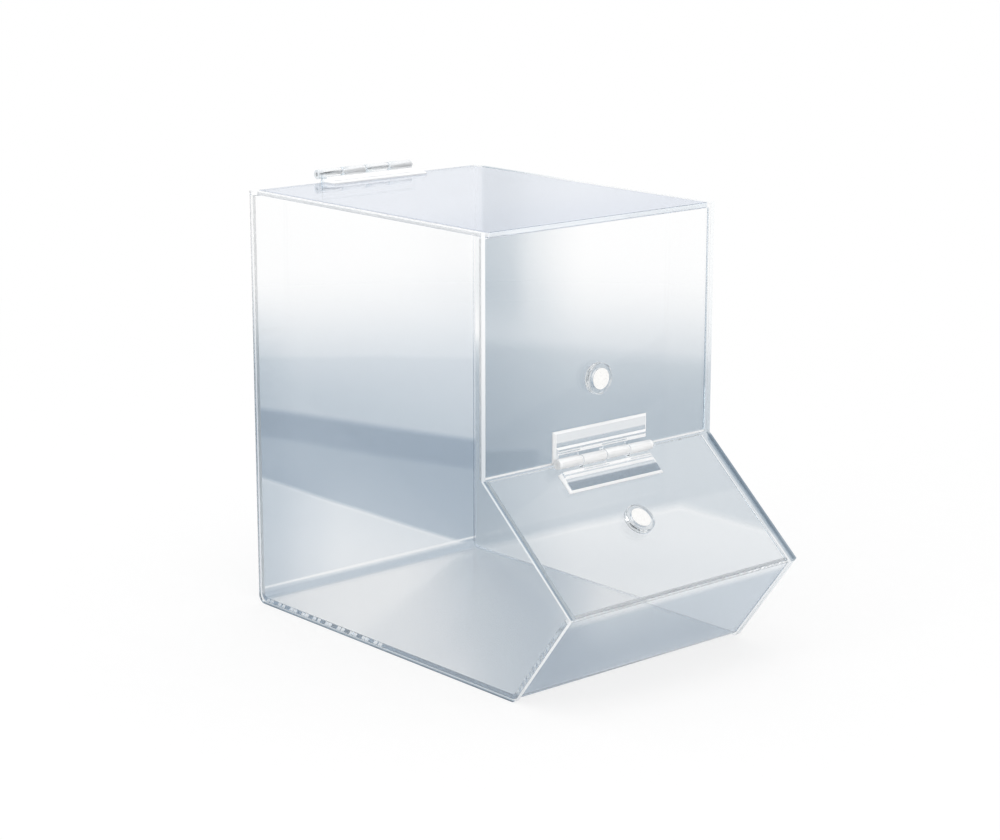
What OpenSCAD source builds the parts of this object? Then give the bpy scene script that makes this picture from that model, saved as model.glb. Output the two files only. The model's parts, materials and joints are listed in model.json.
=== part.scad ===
// Clear acrylic bulk food bin: a bent shell between two profiled side panels, with a lid
// hinged at the back and a serving flap hinged under the front panel.
// X is the width, the front faces -Y, Z is up, and the origin is at the middle of the base.

/* [Case] */
// Overall width across the side panels
case_w = 184; // [140:1:260]
// Height of the side panels
case_h = 266; // [230:1:340]
// Depth of the side panels at the top
top_d = 220; // [190:1:235]
// Depth of the side panels at the base
base_d = 248; // [230:1:270]
// Depth of the side panels at the nose
nose_d = 294; // [280:1:330]
// Height of the nose, where the flap meets the lip
nose_h = 60; // [48:1:75]
// Height of the kink, where the flap starts under the front panel
kink_h = 124; // [110:1:145]
// Thickness of the acrylic sheet
sheet_t = 3; // [2:0.5:5]
// How far the side panels stand proud of the sheets between them
reveal = 1; // [0.5:0.5:3]
// Outside radius of the bends in the shell
bend_r = 6; // [6:0.5:15]
// Radius of the side panels' two lower corners
corner_r = 5; // [2:0.5:15]
// Thickness of the weld between two glued pieces
weld_gap = 0.05; // [0.02:0.01:0.1]

/* [Lid and flap] */
// Gap at each side of the lid and the flap
side_gap = 3; // [1:0.5:6]
// Gap between a closed panel and the edge that it rests on
seat_gap = 0.2; // [0.1:0.1:0.5]
// Gap along the hinged edge of the lid and the flap
hinge_gap = 0.6; // [0.3:0.1:1.5]

/* [Hinges] */
// Length of a hinge along its pin
hinge_l = 75; // [50:1:120]
// Reach of a leaf from the pin's axis to its free edge
leaf_l = 18.5; // [15:0.5:30]
// Thickness of a leaf at its free edge
leaf_t = 2; // [1.5:0.1:2.4]
// Reach of a leaf's thick part from the pin's axis
rib_l = 8; // [7:0.5:12]
// Thickness of a leaf's thick part
rib_t = 3.2; // [2.6:0.1:4]
// Bevel along a leaf's free edge and its two ends
leaf_bevel = 1.2; // [0.4:0.1:1.4]
// Number of grooves along a leaf's thick part
groove_n = 2; // [1:1:3]
// Distance from one groove to the next
groove_pitch = 1.3; // [1:0.1:2]
// Width of a groove
groove_w = 0.7; // [0.4:0.1:1]
// Depth of a groove
groove_d = 0.4; // [0.2:0.1:0.6]
// Height of the pin's axis above the panels
axis_h = 4.5; // [4.3:0.1:6]
// Number of knuckles along a hinge
knuckle_n = 4; // [2:2:8]
// Outside diameter of the knuckles
barrel_d = 6; // [5:0.5:7]
// Gap between a knuckle and what passes it
knuckle_gap = 0.4; // [0.3:0.1:0.8]
// Diameter of the pin
pin_d = 2.2; // [1.6:0.1:3]
// Radial clearance of the pin in the knuckles
pin_fit = 0.05; // [0.02:0.01:0.1]
// Length of the pin's tapered tip beyond the barrel
pin_tip = 2.5; // [1:0.5:5]
// Diameter of the end of the pin's tip
pin_tip_d = 1; // [0.6:0.1:1.4]

/* [Catches] */
// Distance of a catch from the pin's axis, along its panel
catch_u = 46; // [38:1:60]
// Sideways offset of both catches from the middle
catch_x = -3; // [-30:1:30]
// Diameter of a catch cup
catch_d = 19; // [16:0.5:24]
// Bevel on the edges of a catch cup
catch_bevel = 0.6; // [0.3:0.1:1]
// Width of the groove round a catch cup
ring_w = 0.9; // [0.5:0.1:1.4]
// Depth of that groove
ring_d = 0.5; // [0.2:0.1:1]
// Diameter of a magnet
magnet_d = 12.7; // [9:0.1:14]
// Thickness of a magnet
magnet_t = 3; // [2:0.1:3.4]
// Radial clearance of a magnet in its cup
magnet_fit = 0.05; // [0.02:0.01:0.1]
// Gap between the magnets when the flap is folded up
catch_gap = 0.3; // [0.2:0.1:0.6]

/* [Hidden] */
$fn = 64;
clear_tint = [0.80, 0.85, 0.91, 0.35];
pin_tint = [0.88, 0.90, 0.93];
magnet_tint = [0.85, 0.85, 0.84];

// Points and directions in the side view are [y, z].
// Point where the line through p along u meets the line through q along v
function cross2(u, v) = u.x * v.y - u.y * v.x;
function meet(p, u, q, v) = p + u * cross2(q - p, v) / cross2(u, v);
function unit(v) = v / norm(v);

// The lid's hinge stands behind the case, and the origin is in the middle of the whole depth.
hinge_out = axis_h + barrel_d / 2 - reveal;
back_y = (nose_d - max(hinge_out, 0)) / 2;

// Corners of a side panel
back_top = [back_y, case_h];
back_foot = [back_y, 0];
front_foot = [back_y - base_d, 0];
nose = [back_y - nose_d, nose_h];
kink = [back_y - top_d, kink_h];
front_top = [back_y - top_d, case_h];

// Directions down the flap and up the lip, and their outward normals
flap_dir = unit(nose - kink);
flap_out = [flap_dir.y, -flap_dir.x];
lip_dir = unit(nose - front_foot);
lip_out = [-lip_dir.y, lip_dir.x];
flap_slope = atan2(-flap_dir.y, -flap_dir.x);

// Planes of the sheets, set in from the side panels' edges
inner_w = case_w - 2 * sheet_t;
sheet_w = inner_w - 2 * weld_gap;
panel_w = inner_w - 2 * side_gap;
back_face = back_y - reveal;
front_face = front_top.x + reveal;
seat_top = case_h - sheet_t - seat_gap;
flap_face = kink - flap_out * reveal;
flap_inside = flap_face - flap_out * sheet_t;
flap_seat = flap_inside - flap_out * seat_gap;
lip_face = front_foot - lip_out * reveal;
lip_inside = lip_face - lip_out * sheet_t;

// Corner between the front panel's face and the flap's face
corner = meet(flap_face, flap_dir, [front_face, 0], [0, 1]);

// Pin axes: the flap's is as far from the front panel as from the flap
flap_pin = meet(
    flap_face + flap_out * axis_h, flap_dir, [front_face - axis_h, 0], [0, 1]
);
lid_pin = [back_face + axis_h, case_h + axis_h];

// Hinge and catch sizes that follow from the others
leaf_cut = axis_h + knuckle_gap;
knuckle_l = (hinge_l - (knuckle_n - 1) * knuckle_gap) / knuckle_n;
cup_h = axis_h - catch_gap / 2 - weld_gap;

// How far a rounded corner passes its tangent points
round_over = 0.001;

// Extrude a side view evenly about the middle of the width
module across(w) {
    rotate([90, 0, 90]) linear_extrude(w, center = true) children();
}

// Cutter in the side view that rounds the corner p between the edges along a and b. The round
// passes its tangent points by a hair, so that it meets both edges in a clean cut.
module corner_cut(p, a, b, r) {
    half = acos(a * b) / 2;
    centre = p + unit(a + b) * r / sin(half);
    run = r / tan(half);
    difference() {
        polygon([for (q = [centre, p + a * run, p, p + b * run]) 2 * q - centre]);
        translate(centre) circle(r + round_over);
    }
}

// Place children made at the origin at a point of the side view, turned about X
module at(point, turn = 0, x = 0) {
    translate([x, point.x, point.y]) rotate([turn, 0, 0]) children();
}

// Side panel on the middle plane, with its two lower corners rounded
module side_panel() {
    across(sheet_t) difference() {
        polygon([back_top, back_foot, front_foot, nose, kink, front_top]);
        corner_cut(back_foot, [0, 1], [-1, 0], corner_r);
        corner_cut(front_foot, [1, 0], lip_dir, corner_r);
    }
}

module side_left() {
    color(clear_tint) translate([-(case_w - sheet_t) / 2, 0, 0]) side_panel();
}

module side_right() {
    color(clear_tint) translate([(case_w - sheet_t) / 2, 0, 0]) side_panel();
}

// Side view of the space inside the shell at a depth from its outer face, up to a rim
module shell_space(depth, r, rim) {
    heel = [back_face - depth, reveal + depth];
    toe = meet(lip_face - lip_out * depth, lip_dir, heel, [1, 0]);
    difference() {
        polygon(concat([heel, toe], rim));
        corner_cut(heel, [0, 1], [-1, 0], r);
        corner_cut(toe, [1, 0], lip_dir, r);
    }
}

// Back, bottom and lip, bent from one sheet
module shell() {
    lip_end = meet(lip_face, lip_dir, flap_seat, flap_dir);
    lip_end_in = meet(lip_inside, lip_dir, flap_seat, flap_dir);
    back_end = [back_face, seat_top];
    back_end_in = back_end - [sheet_t, 0];
    color(clear_tint) across(sheet_w) difference() {
        shell_space(0, bend_r, [lip_end, lip_end_in, back_end_in, back_end]);
        shell_space(
            sheet_t, bend_r - sheet_t,
            [lip_end_in + lip_dir * sheet_t, back_end_in + [0, sheet_t]]
        );
    }
}

module front_panel() {
    foot = corner.y + hinge_gap;
    color(clear_tint) across(sheet_w) polygon([
        [front_face, foot], [front_face + sheet_t, foot],
        [front_face + sheet_t, seat_top], [front_face, seat_top]
    ]);
}

// The flap's lower end lies flush with the lip, and its inner face rests on the lip's edge.
module flap() {
    color(clear_tint) across(panel_w) polygon([
        corner, corner - flap_out * sheet_t,
        meet(flap_inside, flap_dir, lip_face, lip_dir),
        meet(flap_face, flap_dir, lip_face, lip_dir)
    ]);
}

module lid() {
    rear = back_face - hinge_gap;
    color(clear_tint) across(panel_w) polygon([
        [front_top.x, case_h - sheet_t], [rear, case_h - sheet_t],
        [rear, case_h], [front_top.x, case_h]
    ]);
}

// Side view of a leaf, with grooves along its thick part
module leaf_profile(glued) {
    rib_top = rib_t - axis_h;
    leaf_top = leaf_t - axis_h;
    difference() {
        polygon([
            [leaf_cut, glued], [leaf_l, glued],
            [leaf_l, leaf_top - leaf_bevel], [leaf_l - leaf_bevel, leaf_top],
            [rib_l + rib_t - leaf_t, leaf_top], [rib_l, rib_top], [leaf_cut, rib_top]
        ]);
        for (i = [1 : groove_n])
            translate([rib_l - i * groove_pitch, rib_top])
                polygon([[-groove_w / 2, round_over], [0, -groove_d], [groove_w / 2, round_over]]);
    }
}

// Space under the bevels at the two ends of a leaf
module leaf_ends(glued) {
    rise = rib_t - leaf_t + 2 * leaf_bevel;
    foot = leaf_t - axis_h - leaf_bevel;
    half = hinge_l / 2;
    rotate([90, 0, 0]) linear_extrude(4 * leaf_l, center = true) polygon([
        [-half, glued - 1], [half, glued - 1], [half, foot],
        [half - rise, foot + rise], [rise - half, foot + rise], [-half, foot]
    ]);
}

// Place children at the middle of each knuckle of one leaf
module at_knuckles() {
    for (i = [0 : 2 : knuckle_n - 1])
        translate([i * (knuckle_l + knuckle_gap) + (knuckle_l - hinge_l) / 2, 0, 0]) children();
}

// Moulded hinge leaf about a pin on the X axis. It reaches along +Y, and the face that is
// glued down looks along -Z. The other leaf of a hinge is the same moulding turned round.
module leaf() {
    glued = weld_gap - axis_h;
    color(clear_tint) difference() {
        union() {
            intersection() {
                union() {
                    across(hinge_l) leaf_profile(glued);
                    at_knuckles() across(knuckle_l) polygon([
                        [0, glued], [leaf_cut, glued],
                        [leaf_cut, rib_t - axis_h], [0, rib_t - axis_h]
                    ]);
                }
                leaf_ends(glued);
            }
            at_knuckles() rotate([0, 90, 0]) cylinder(d = barrel_d, h = knuckle_l, center = true);
        }
        rotate([0, 90, 0]) cylinder(d = pin_d + 2 * pin_fit, h = 2 * hinge_l, center = true);
    }
}

module turned_leaf() {
    rotate([0, 0, 180]) leaf();
}

// Pin along X with a tapered tip at its right end
module hinge_pin() {
    color(pin_tint) rotate([0, 90, 0]) {
        cylinder(d = pin_d, h = hinge_l, center = true);
        translate([0, 0, hinge_l / 2]) cylinder(d1 = pin_d, d2 = pin_tip_d, h = pin_tip);
    }
}

module flap_hinge_upper_leaf() {
    at(flap_pin, 90) leaf();
}

module flap_hinge_lower_leaf() {
    at(flap_pin, flap_slope) turned_leaf();
}

module flap_hinge_pin() {
    at(flap_pin) hinge_pin();
}

module lid_hinge_back_leaf() {
    at(lid_pin, -90) leaf();
}

module lid_hinge_lid_leaf() {
    at(lid_pin) turned_leaf();
}

module lid_hinge_pin() {
    at(lid_pin) hinge_pin();
}

// Round clear cup along +Z, with a seat for a magnet in its top and a groove round its side
module catch_cup() {
    rim = catch_d / 2;
    seat = magnet_d / 2 + magnet_fit;
    seat_z = cup_h - magnet_t - weld_gap;
    color(clear_tint) rotate_extrude() polygon([
        [0, 0], [rim - catch_bevel, 0], [rim, catch_bevel],
        [rim, (cup_h - ring_w) / 2], [rim - ring_d, cup_h / 2], [rim, (cup_h + ring_w) / 2],
        [rim, cup_h - catch_bevel], [rim - catch_bevel, cup_h],
        [seat, cup_h], [seat, seat_z], [0, seat_z]
    ]);
}

module catch_magnet() {
    color(magnet_tint) translate([0, 0, cup_h - magnet_t]) cylinder(d = magnet_d, h = magnet_t);
}

// Catch on the front panel, as far above the pin as the flap's catch is below it
module on_front() {
    at([front_face - weld_gap, flap_pin.y + catch_u], 90, catch_x) children();
}

module on_flap() {
    foot = flap_pin - flap_out * (axis_h - weld_gap);
    at(foot + flap_dir * catch_u, flap_slope, catch_x) children();
}

module front_catch_cup() {
    on_front() catch_cup();
}

module front_catch_magnet() {
    on_front() catch_magnet();
}

module flap_catch_cup() {
    on_flap() catch_cup();
}

module flap_catch_magnet() {
    on_flap() catch_magnet();
}

side_left();
side_right();
shell();
front_panel();
flap();
lid();
flap_hinge_upper_leaf();
flap_hinge_lower_leaf();
flap_hinge_pin();
lid_hinge_back_leaf();
lid_hinge_lid_leaf();
lid_hinge_pin();
front_catch_cup();
front_catch_magnet();
flap_catch_cup();
flap_catch_magnet();
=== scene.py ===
"""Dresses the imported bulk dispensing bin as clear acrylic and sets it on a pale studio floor."""

import json
import logging
import math
import random
from dataclasses import dataclass, replace
from enum import Enum
from typing import Sequence

import bmesh
import bpy
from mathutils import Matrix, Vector


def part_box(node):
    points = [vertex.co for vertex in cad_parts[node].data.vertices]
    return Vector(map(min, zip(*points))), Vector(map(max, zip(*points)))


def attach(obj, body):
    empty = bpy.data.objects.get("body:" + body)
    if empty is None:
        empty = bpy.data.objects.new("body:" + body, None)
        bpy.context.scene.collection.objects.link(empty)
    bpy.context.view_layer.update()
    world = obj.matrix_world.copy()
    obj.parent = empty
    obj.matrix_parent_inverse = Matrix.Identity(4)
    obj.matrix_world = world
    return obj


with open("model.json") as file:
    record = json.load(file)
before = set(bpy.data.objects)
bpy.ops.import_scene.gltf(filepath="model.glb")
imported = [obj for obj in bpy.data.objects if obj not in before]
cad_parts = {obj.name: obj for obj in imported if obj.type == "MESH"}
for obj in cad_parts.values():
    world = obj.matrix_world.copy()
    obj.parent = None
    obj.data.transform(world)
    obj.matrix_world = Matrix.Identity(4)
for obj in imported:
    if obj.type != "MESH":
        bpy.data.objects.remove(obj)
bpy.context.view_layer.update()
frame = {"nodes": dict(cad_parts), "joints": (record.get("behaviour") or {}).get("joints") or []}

MM = 0.001
FLAP_SLOPE = math.radians(40.855)
NOISE_SPAN = (0.3, 0.7)

LOG = logging.getLogger("bulk_bin")

Span = tuple[float, float]
Colour = tuple[float, float, float]
Way = Place = tuple[float, float, float]
Socket = bpy.types.NodeSocket
Material = bpy.types.Material
Object = bpy.types.Object


class Lie(Enum):
    """How a sheet lies: the direction that its polished faces look in, or bent about the x axis."""

    SIDE = (1.0, 0.0, 0.0)
    FRONT = (0.0, 1.0, 0.0)
    TOP = (0.0, 0.0, 1.0)
    SLOPE = (0.0, -math.sin(FLAP_SLOPE), math.cos(FLAP_SLOPE))
    BENT = (0.0, 0.0, 0.0)


@dataclass(frozen=True)
class SmokeAndPaintedShade:
    """Turns a depth into the colour that a sheet lets through, with a steel-blue cast; most of that depth
    is painted shade and painted reflection, the rest a faint cloud in the plastic.

    Attributes:
        depth: Depth in green light; in the graded sheets it is painted shade and painted reflection.
        cast: Depth in red, green and blue for a depth of one.
    """

    depth: float
    cast: Colour = (1.21, 1.0, 0.83)

    def tint(self) -> Colour:
        """Returns the colour that one sheet of this depth lets through."""
        red, green, blue = (math.exp(-self.depth * share) for share in self.cast)
        return red, green, blue


class Graph:
    """A material's node tree, built up one node at a time.

    Attributes:
        material: The material.
        tree: Its node tree.
        point: The shaded point in the part's own frame.
        x: That point's place from left to right.
        y: Its place from front to back.
        z: Its height.
    """

    def __init__(self, name: str) -> None:
        """Makes an empty material of this name."""
        self.material = bpy.data.materials.new(name)
        self.material.use_nodes = True
        self.tree = self.material.node_tree
        self.tree.nodes.clear()
        self.point = self.add("TexCoord").outputs["Object"]
        self.x, self.y, self.z = self.add("SeparateXYZ", {0: self.point}).outputs

    def add(self, kind: str, sockets: dict[str | int, object] | None = None,
            **settings: object) -> bpy.types.Node:
        """Adds a node and fills its inputs.

        Args:
            kind: The node's type name without its ShaderNode prefix.
            sockets: Input values, or output sockets to link from, by name or number.
            **settings: The node's own properties.

        Returns:
            The new node.
        """
        node = self.tree.nodes.new("ShaderNode" + kind)
        for key, value in settings.items():
            setattr(node, key, value)
        for key, value in (sockets or {}).items():
            if isinstance(value, Socket):
                self.tree.links.new(value, node.inputs[key])
            else:
                node.inputs[key].default_value = value
        return node

    def math(self, operation: str, *values: object) -> Socket:
        """Returns the result of one math operation on up to three values or sockets."""
        return self.add("Math", dict(enumerate(values)), operation=operation).outputs[0]

    def times(self, first: object, second: object) -> Socket:
        """Returns the product of two values."""
        return self.math("MULTIPLY", first, second)

    def plus(self, first: object, second: object) -> Socket:
        """Returns the sum of two values."""
        return self.math("ADD", first, second)

    def minus(self, first: object, second: object) -> Socket:
        """Returns the first value less the second."""
        return self.math("SUBTRACT", first, second)

    def most(self, first: object, second: object) -> Socket:
        """Returns the greater of two values."""
        return self.math("MAXIMUM", first, second)

    def rest(self, share: object) -> Socket:
        """Returns what a share leaves of 1."""
        return self.minus(1.0, share)

    def absolute(self, value: object) -> Socket:
        """Returns a value without its sign."""
        return self.math("ABSOLUTE", value)

    def between(self, first: object, second: object, share: object) -> Socket:
        """Returns the number that lies this share of the way from the first to the second."""
        return self.math("MULTIPLY_ADD", self.minus(second, first), share, first)

    def along(self, vector: Socket, way: Way) -> Socket:
        """Returns how far a vector reaches in a direction."""
        return self.add("VectorMath", {0: vector, 1: way}, operation="DOT_PRODUCT").outputs["Value"]

    def length(self, vector: Socket) -> Socket:
        """Returns the length of a vector."""
        return self.add("VectorMath", {0: vector}, operation="LENGTH").outputs["Value"]

    def noise(self, scale: float, detail: float = 3.0) -> Socket:
        """Returns a soft noise value of this scale per metre."""
        return self.add("TexNoise", {"Vector": self.point, "Scale": scale, "Detail": detail}).outputs[0]

    def ramp(self, value: object, places: Sequence[float], colours: Sequence[Colour],
             smooth: bool = True) -> Socket:
        """Adds a colour ramp.

        Args:
            value: The socket that drives it, from 0 to 1.
            places: The values at its stops, in order.
            colours: The colours there.
            smooth: Eases between the stops.

        Returns:
            The ramp's colour output.
        """
        node = self.add("ValToRGB", {0: value})
        node.color_ramp.interpolation = "EASE" if smooth else "LINEAR"
        stops = node.color_ramp.elements
        while len(stops) < len(places):
            stops.new(1.0)
        for stop, place, colour in zip(stops, places, colours):
            stop.position = place
            stop.color = (*colour, 1.0)
        return node.outputs["Color"]

    def spread(self, value: object, low: float, high: float, start: float = 0.0, end: float = 1.0,
               eased: bool = False) -> Socket:
        """Maps a value from one span to another, held at the ends.

        Args:
            value: The socket to map.
            low: The value that becomes start.
            high: The value that becomes end.
            start: First end of the new span.
            end: Second end of the new span.
            eased: Uses a smooth step.

        Returns:
            The mapped value.
        """
        sockets = {"Value": value, "From Min": low, "From Max": high, "To Min": start, "To Max": end}
        step = "SMOOTHSTEP" if eased else "LINEAR"
        return self.add("MapRange", sockets, interpolation_type=step).outputs[0]

    def outside(self) -> Socket:
        """Returns 1 where a surface is met from outside and 0 where it is met from within."""
        return self.rest(self.add("NewGeometry").outputs["Backfacing"])

    def facing(self, way: Way) -> Socket:
        """Returns the cosine between the surface's outward side and a direction of the part's frame."""
        cosine = self.along(self.add("TexCoord").outputs["Normal"], way)
        return self.times(cosine, self.math("MULTIPLY_ADD", self.outside(), 2.0, -1.0))

    def lined_up(self, way: Way) -> Socket:
        """Returns the same cosine without its sign."""
        return self.absolute(self.facing(way))

    def cut_edges(self, lie: Lie, turn: Span = (0.7, 0.3)) -> Socket:
        """Finds the cut edges of a sheet from the way its surface looks.

        Args:
            lie: How the sheet lies.
            turn: Cosines to the polished face where an edge starts and where it is full.

        Returns:
            1 on the cut edges and 0 on the polished faces.
        """
        if lie is Lie.BENT:
            return self.spread(self.lined_up(Lie.SIDE.value), *turn[::-1])
        return self.spread(self.lined_up(lie.value), *turn)

    def from_axis(self, axis: Sequence[float]) -> Socket:
        """Returns the distance from a line along x through a point."""
        away = {1: self.minus(self.y, axis[1]), 2: self.minus(self.z, axis[2])}
        return self.length(self.add("CombineXYZ", away).outputs[0])

    def output(self, surface: bpy.types.Node, volume: bpy.types.Node | None = None) -> Material:
        """Ends the tree in a surface and, for solid plastic, a volume, and returns the material."""
        sockets = {"Surface": surface.outputs[0]}
        if volume is not None:
            sockets["Volume"] = volume.outputs[0]
        self.add("OutputMaterial", sockets)
        return self.material


@dataclass(frozen=True)
class ClearPlastic:
    """What every clear acrylic or moulded finish has in common.

    Attributes:
        name: The material's name.
        index: Refractive index.
        lie: How the sheet lies, or None for a moulding without cut edges.
        gloss_roughness: Least and greatest roughness of the polished faces.
        cut_roughness: Least and greatest roughness of the cut edges.
        wave: Height of the slow waviness of the faces, in metres.
        wave_scale: Waves per metre.
        bulk_colour: Colour that the bulk lets through.
        bulk_density: How strongly the bulk takes up light, per metre.
    """

    name: str
    index: float = 1.49
    lie: Lie | None = None
    gloss_roughness: Span = (0.0, 0.012)
    cut_roughness: Span = (0.02, 0.1)
    wave: float = 0.06 * MM
    wave_scale: float = 14.0
    bulk_colour: Colour = (0.42, 0.66, 0.80)
    bulk_density: float = 1.2

    CLOUD_SCALE = 30.0
    CLOUD_DEPTH = 0.02
    SMEAR_SCALE = 60.0
    SMEAR_DETAIL = 4.0
    SMEAR_SPAN = (0.45, 0.75)
    MARK_SCALE = 900.0

    def tint(self, graph: Graph) -> Socket:
        """Returns the plastic's colour; a moulding has only a faint cloud in it."""
        colours = SmokeAndPaintedShade(0.0).tint(), SmokeAndPaintedShade(self.CLOUD_DEPTH).tint()
        return graph.ramp(graph.noise(self.CLOUD_SCALE), NOISE_SPAN, colours)

    def veil(self, graph: Graph) -> Socket | None:
        """Returns the share of light that the surface scatters, or None where all of it is clear."""
        return None

    def roughness(self, graph: Graph) -> Socket:
        """Returns the roughness, with smears on the polished faces and saw marks on the cut edges."""
        smear = graph.noise(self.SMEAR_SCALE, self.SMEAR_DETAIL)
        rough = graph.spread(smear, *self.SMEAR_SPAN, *self.gloss_roughness)
        if self.lie is None:
            return rough
        marks = graph.spread(graph.noise(self.MARK_SCALE), *NOISE_SPAN, *self.cut_roughness)
        return graph.most(rough, graph.times(marks, graph.cut_edges(self.lie)))

    def material(self) -> Material:
        """Builds the node tree and returns the finished material."""
        graph = Graph(self.name)
        waves = graph.noise(self.wave_scale, 1.0)
        bump = graph.add("Bump", {"Height": waves, "Distance": self.wave, "Strength": 1.0})
        veil = self.veil(graph)
        skin = graph.add("BsdfPrincipled", {
            "Base Color": self.tint(graph), "Roughness": self.roughness(graph), "Normal": bump.outputs[0],
            "IOR": self.index, "Transmission Weight": 1.0 if veil is None else graph.rest(veil),
        })
        bulk = graph.add("VolumeAbsorption", {
            "Color": (*self.bulk_colour, 1.0), "Density": self.bulk_density,
        })
        return graph.output(skin, bulk)


@dataclass(frozen=True)
class HingeMoulding(ClearPlastic):
    """Clear moulding of a hinge, white along its bevels and its barrel.

    Attributes:
        joint: Name of the joint whose axis runs through the barrel.
        outward: 1 where a leaf's open face looks the way that it lies, -1 where it looks back, 0 for a pin.
        barrel: Radius of the barrel, in metres.
        face_veil: Whiteness of the flat faces.
        edge_veil: Whiteness of the bevels, grooves and ends.
        barrel_veil: Whiteness of the barrel.
        pale: Distances from the axis where the outer part turns pale, or None.
        pale_veil: Whiteness of that pale part.
        notch_veil: Whiteness beside the notches for the other leaf's knuckles, and of the leaf's two ends.
        outer_painted_shade: Depth of painted shade on the outer part.
        barrel_painted_shade: Depth of painted shade on the barrel.
    """

    gloss_roughness: Span = (0.01, 0.04)
    wave: float = 0.01 * MM
    wave_scale: float = 90.0
    bulk_density: float = 6.0
    joint: str = ""
    outward: float = 1.0
    barrel: float = 3.0 * MM
    face_veil: float = 0.05
    edge_veil: float = 0.88
    barrel_veil: float = 0.85
    pale: Span | None = None
    pale_veil: float = 0.6
    notch_veil: float = 0.0
    outer_painted_shade: float = 0.0
    barrel_painted_shade: float = 0.0

    TURN = (0.97, 0.86)
    END_TURN = (0.5, 0.8)
    END_START = (35.8 * MM, 36.2 * MM)
    OUTER = (11.5 * MM, 12.5 * MM)
    BARREL_FADE = (0.5 * MM, 0.1 * MM)
    SEAT_TURN = (-0.9, -0.8)
    NOTCH = (7.0 * MM, 6.6 * MM)
    KNUCKLE_TURN = math.tau / (37.5 * MM)
    KNUCKLE_EDGE = (0.0, 0.15)
    END_LINE = (35.5 * MM, 35.8 * MM)

    def from_joint(self, graph: Graph) -> Socket:
        """Returns the distance from the hinge's axis."""
        axes = {joint["name"]: joint["pos_m"] for joint in frame["joints"]}
        return graph.from_axis(axes[self.joint])

    def on_barrel(self, graph: Graph, away: Socket, level: float) -> Socket:
        """Returns a level on the barrel and 0 beyond it."""
        start, full = (self.barrel + gap for gap in self.BARREL_FADE)
        return graph.spread(away, start, full, 0.0, level)

    def tint(self, graph: Graph) -> Socket:
        """Returns the plastic's colour: a faint cloud, with painted shade on the barrel and the outer part
        as set.
        """
        away = self.from_joint(graph)
        cloud = graph.spread(graph.noise(self.CLOUD_SCALE), *NOISE_SPAN, 0.0, self.CLOUD_DEPTH)
        flat = graph.rest(graph.cut_edges(self.lie, self.TURN))
        outer = graph.times(graph.spread(away, *self.OUTER, 0.0, self.outer_painted_shade), flat)
        depth = graph.plus(graph.plus(cloud, outer), self.on_barrel(graph, away, self.barrel_painted_shade))
        return graph.ramp(depth, (0.0, 1.0), (SmokeAndPaintedShade(0.0).tint(), SmokeAndPaintedShade(1.0).tint()), smooth=False)

    def white_lines(self, graph: Graph, away: Socket) -> Socket:
        """Returns the scatter of the white lines beside a leaf's notches and along its two ends."""
        turn = graph.math("SINE", graph.times(graph.x, self.KNUCKLE_TURN))
        notched = graph.spread(graph.times(turn, self.outward), *self.KNUCKLE_EDGE)
        beside = graph.times(graph.spread(away, *self.NOTCH), notched)
        at_end = graph.spread(graph.absolute(graph.x), *self.END_LINE)
        return graph.times(graph.most(beside, at_end), self.notch_veil)

    def veil(self, graph: Graph) -> Socket:
        """Whitens the bevels, the barrel, the pale part and the ends, but not the face on the sheet.

        Args:
            graph: The material's node tree.

        Returns:
            The share of light that the surface scatters.
        """
        away = self.from_joint(graph)
        edges = graph.cut_edges(self.lie, self.TURN)
        veil = graph.spread(edges, 0.0, 1.0, self.face_veil, self.edge_veil)
        veil = graph.most(veil, self.on_barrel(graph, away, self.barrel_veil))
        if self.pale is not None:
            veil = graph.most(veil, graph.spread(away, *self.pale, 0.0, self.pale_veil, eased=True))
        veil = graph.most(veil, self.white_lines(graph, away))
        sideways = graph.spread(graph.lined_up(Lie.SIDE.value), *self.END_TURN)
        at_end = graph.spread(graph.absolute(graph.x), *self.END_START)
        hidden = graph.times(sideways, graph.rest(at_end))
        veil = graph.times(veil, graph.rest(hidden))
        open_side = graph.times(graph.facing(self.lie.value), self.outward)
        veil = graph.times(veil, graph.spread(open_side, *self.SEAT_TURN))
        return graph.times(veil, graph.outside())


@dataclass(frozen=True)
class Slant:
    """A straight line across a sheet.

    Attributes:
        level: Its height at the middle, in metres.
        rise: Its rise per metre along the sheet, to the right or to the back.
        cap: Greatest height that it climbs to.
    """

    level: float
    rise: float = 0.0
    cap: float = 1.0

    def over(self, graph: Graph, run: Socket, z: Socket) -> Socket:
        """Returns how far a point lies above the line."""
        line = graph.math("MULTIPLY_ADD", run, self.rise, self.level)
        return graph.minus(z, graph.math("MINIMUM", line, self.cap))


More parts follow.
